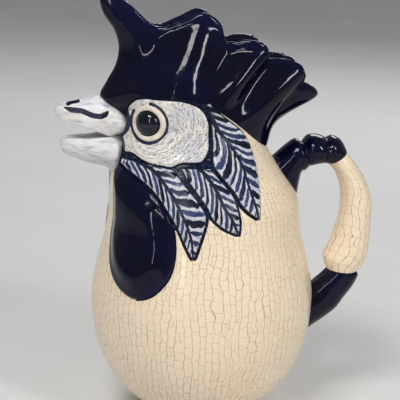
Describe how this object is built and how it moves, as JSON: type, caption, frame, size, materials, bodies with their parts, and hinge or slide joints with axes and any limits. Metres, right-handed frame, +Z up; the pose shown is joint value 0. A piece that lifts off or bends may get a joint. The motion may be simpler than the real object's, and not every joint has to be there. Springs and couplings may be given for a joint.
{
  "type": "rooster pitcher",
  "caption": "Glazed earthenware pitcher shaped as a rooster, with an open lobed comb to fill it, an open beak to pour from and a tail-side loop handle.",
  "frame": {"origin": "centre of the foot ring's underside, on the surface that the pitcher stands on", "axes": "+Z up along the vessel's axis, -X towards the beak, +X towards the handle"},
  "size_m": [0.2235, 0.156, 0.2968],
  "materials": {
    "cream_glaze": "glossy cream glaze with fine tan-brown crackle",
    "navy_glaze": "glossy blue-black glaze, thinner and bluer over ridges",
    "beak_glaze": "glossy cool white glaze with lavender-grey shading",
    "face_glaze": "glossy white glaze over scratched lines that hold grey-blue colour",
    "feather_glaze": "glossy painted barbs in navy, mid blue and white",
    "eye_glaze": "very glossy black-blue dome"
  },
  "bodies": {
    "root": {"foot_ring": "cream_glaze", "body_shell": "cream_glaze", "head_shell": "cream_glaze", "handle_grip": "cream_glaze", "comb": "navy_glaze", "handle_crest": "navy_glaze", "handle_tail": "navy_glaze", "upper_beak": "beak_glaze", "lower_beak": "beak_glaze", "left_wattle": "navy_glaze", "left_face": "face_glaze", "left_eye_ring": "face_glaze", "left_eye": "eye_glaze", "left_front_feather": "feather_glaze", "left_middle_feather": "feather_glaze", "left_rear_feather": "feather_glaze", "right_wattle": "navy_glaze", "right_face": "face_glaze", "right_eye_ring": "face_glaze", "right_eye": "eye_glaze", "right_front_feather": "feather_glaze", "right_middle_feather": "feather_glaze", "right_rear_feather": "feather_glaze"}
  },
  "joints": []
}
